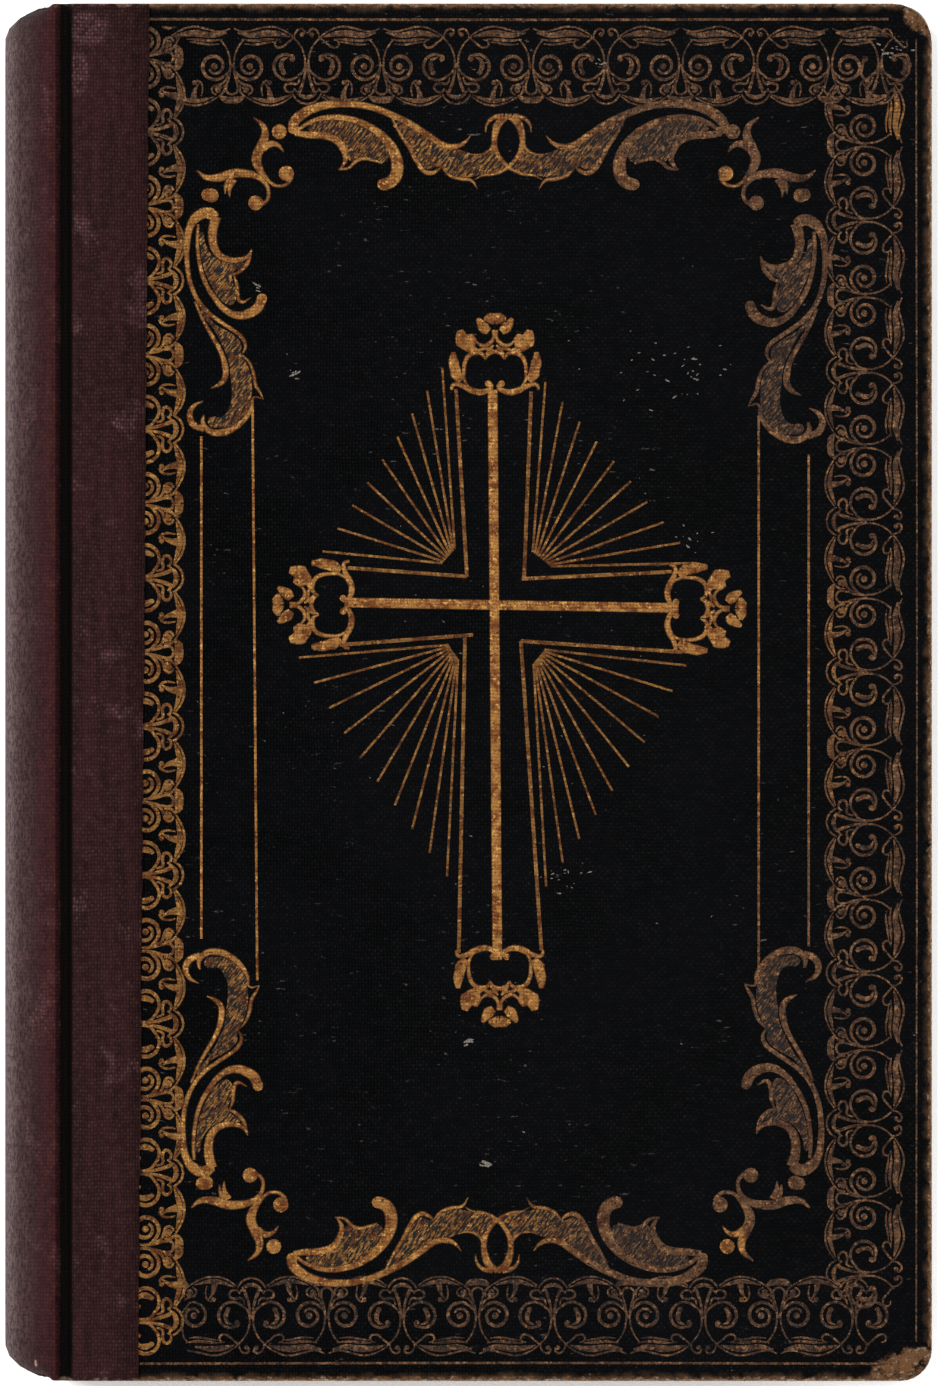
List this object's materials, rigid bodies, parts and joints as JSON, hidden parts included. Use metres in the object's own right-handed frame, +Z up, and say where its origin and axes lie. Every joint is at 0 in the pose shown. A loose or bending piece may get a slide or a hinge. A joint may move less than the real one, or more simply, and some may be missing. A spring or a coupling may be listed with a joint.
{
  "type": "prayer book",
  "caption": "Small sewn prayer book in a cloth case with gilt cross and scroll border, a rounded spine, hinged covers and turning leaves.",
  "frame": {"origin": "centre of the bounding box's underside, in the plane that the closed book lies on", "axes": "+Z up through the front cover, +Y to the head, +X to the fore-edge, spine at -X"},
  "size_m": [0.118, 0.175, 0.0322],
  "materials": {
    "maroon_cloth": "matt book cloth, fine plain weave, rubbed",
    "black_cloth": "fine black book cloth, blocked with worn gilt ornament",
    "millboard": "dense grey-brown board",
    "endpaper": "plain aged paper",
    "leaves": "aged text paper, edges toned",
    "card": "thin brown card",
    "lining_paper": "brown lining paper",
    "mull": "open-weave starched cotton",
    "linen_tape": "woven linen tape",
    "thread": "linen thread",
    "band_silk": "wound red and cream silk"
  },
  "bodies": {
    "text_block": {"back_joint_cloth": "maroon_cloth", "front_joint_cloth": "maroon_cloth", "headband": "band_silk", "kettle_stitches": "thread", "mull_lining": "mull", "paper_lining": "lining_paper", "section_01_fold": "leaves", "section_02_fold": "leaves", "section_03_fold": "leaves", "section_04": "leaves", "section_05": "leaves", "section_06": "leaves", "section_07": "leaves", "section_08": "leaves", "section_09": "leaves", "section_10": "leaves", "section_11": "leaves", "section_12": "leaves", "section_13": "leaves", "section_14": "leaves", "section_15": "leaves", "section_16": "leaves", "section_17": "leaves", "section_18": "leaves", "section_19_fold": "leaves", "section_20_fold": "leaves", "section_21_fold": "leaves", "section_22_fold": "leaves", "section_23_fold": "leaves", "section_24_fold": "leaves", "sewing_tape_head": "linen_tape", "sewing_tape_middle": "linen_tape", "sewing_tape_tail": "linen_tape", "spine_card": "card", "spine_cloth": "maroon_cloth", "tailband": "band_silk"},
    "front_cover": {"front_board": "millboard", "front_board_cloth": "black_cloth", "front_cloth_strip": "maroon_cloth", "front_mull_flap": "mull", "front_tape_slips": "linen_tape", "front_pastedown": "endpaper"},
    "back_cover": {"back_board": "millboard", "back_board_cloth": "black_cloth", "back_cloth_strip": "maroon_cloth", "back_mull_flap": "mull", "back_tape_slips": "linen_tape", "back_pastedown": "endpaper"},
    "front_flyleaf_turning": {"front_flyleaf": "endpaper"},
    "section_24_turning": {"section_24_leaves": "leaves"},
    "section_23_turning": {"section_23_leaves": "leaves"},
    "section_22_turning": {"section_22_leaves": "leaves"},
    "section_21_turning": {"section_21_leaves": "leaves"},
    "section_20_turning": {"section_20_leaves": "leaves"},
    "section_19_turning": {"section_19_leaves": "leaves"},
    "back_flyleaf_turning": {"back_flyleaf": "endpaper"},
    "section_01_turning": {"section_01_leaves": "leaves"},
    "section_02_turning": {"section_02_leaves": "leaves"},
    "section_03_turning": {"section_03_leaves": "leaves"}
  },
  "joints": [
    {"name": "front_cover_hinge", "type": "hinge", "parent": "text_block", "child": "front_cover", "pos_m": [-0.0514, 0, 0.03222], "axis": [0, -1, 0], "range_deg": [0, 178], "deforming": ["front_joint_cloth"]},
    {"name": "front_flyleaf_turning_hinge", "type": "hinge", "parent": "text_block", "child": "front_flyleaf_turning", "pos_m": [-0.0514, 0, 0.03222], "axis": [0, -1, 0], "range_deg": [0, 174.9]},
    {"name": "section_24_turning_hinge", "type": "hinge", "parent": "text_block", "child": "section_24_turning", "pos_m": [-0.0514, 0, 0.03222], "axis": [0, -1, 0], "range_deg": [0, 169.6]},
    {"name": "section_23_turning_hinge", "type": "hinge", "parent": "text_block", "child": "section_23_turning", "pos_m": [-0.0514, 0, 0.03222], "axis": [0, -1, 0], "range_deg": [0, 158.9]},
    {"name": "section_22_turning_hinge", "type": "hinge", "parent": "text_block", "child": "section_22_turning", "pos_m": [-0.0514, 0, 0.03222], "axis": [0, -1, 0], "range_deg": [0, 141.1]},
    {"name": "section_21_turning_hinge", "type": "hinge", "parent": "text_block", "child": "section_21_turning", "pos_m": [-0.0514, 0, 0.03222], "axis": [0, -1, 0], "range_deg": [0, 114.4]},
    {"name": "section_20_turning_hinge", "type": "hinge", "parent": "text_block", "child": "section_20_turning", "pos_m": [-0.0514, 0, 0.03222], "axis": [0, -1, 0], "range_deg": [0, 77]},
    {"name": "section_19_turning_hinge", "type": "hinge", "parent": "text_block", "child": "section_19_turning", "pos_m": [-0.0514, 0, 0.03222], "axis": [0, -1, 0], "range_deg": [0, 32.5]},
    {"name": "back_cover_hinge", "type": "hinge", "parent": "text_block", "child": "back_cover", "pos_m": [-0.0514, 0, 0], "axis": [0, 1, 0], "range_deg": [0, 178], "deforming": ["back_joint_cloth"]},
    {"name": "back_flyleaf_turning_hinge", "type": "hinge", "parent": "text_block", "child": "back_flyleaf_turning", "pos_m": [-0.0514, 0, 0], "axis": [0, 1, 0], "range_deg": [0, 173.2]},
    {"name": "section_01_turning_hinge", "type": "hinge", "parent": "text_block", "child": "section_01_turning", "pos_m": [-0.0514, 0, 0], "axis": [0, 1, 0], "range_deg": [0, 157.1]},
    {"name": "section_02_turning_hinge", "type": "hinge", "parent": "text_block", "child": "section_02_turning", "pos_m": [-0.0514, 0, 0], "axis": [0, 1, 0], "range_deg": [0, 110.9]},
    {"name": "section_03_turning_hinge", "type": "hinge", "parent": "text_block", "child": "section_03_turning", "pos_m": [-0.0514, 0, 0], "axis": [0, 1, 0], "range_deg": [0, 50.3]}
  ],
  "couplings": [
    {"joint": "front_flyleaf_turning_hinge", "follows": "front_cover_hinge", "ratio": 0.98},
    {"joint": "section_24_turning_hinge", "follows": "front_cover_hinge", "ratio": 0.95},
    {"joint": "section_23_turning_hinge", "follows": "front_cover_hinge", "ratio": 0.89},
    {"joint": "section_22_turning_hinge", "follows": "front_cover_hinge", "ratio": 0.79},
    {"joint": "section_21_turning_hinge", "follows": "front_cover_hinge", "ratio": 0.64},
    {"joint": "section_20_turning_hinge", "follows": "front_cover_hinge", "ratio": 0.43},
    {"joint": "section_19_turning_hinge", "follows": "front_cover_hinge", "ratio": 0.18},
    {"joint": "back_flyleaf_turning_hinge", "follows": "back_cover_hinge", "ratio": 0.97},
    {"joint": "section_01_turning_hinge", "follows": "back_cover_hinge", "ratio": 0.88},
    {"joint": "section_02_turning_hinge", "follows": "back_cover_hinge", "ratio": 0.62},
    {"joint": "section_03_turning_hinge", "follows": "back_cover_hinge", "ratio": 0.28}
  ]
}
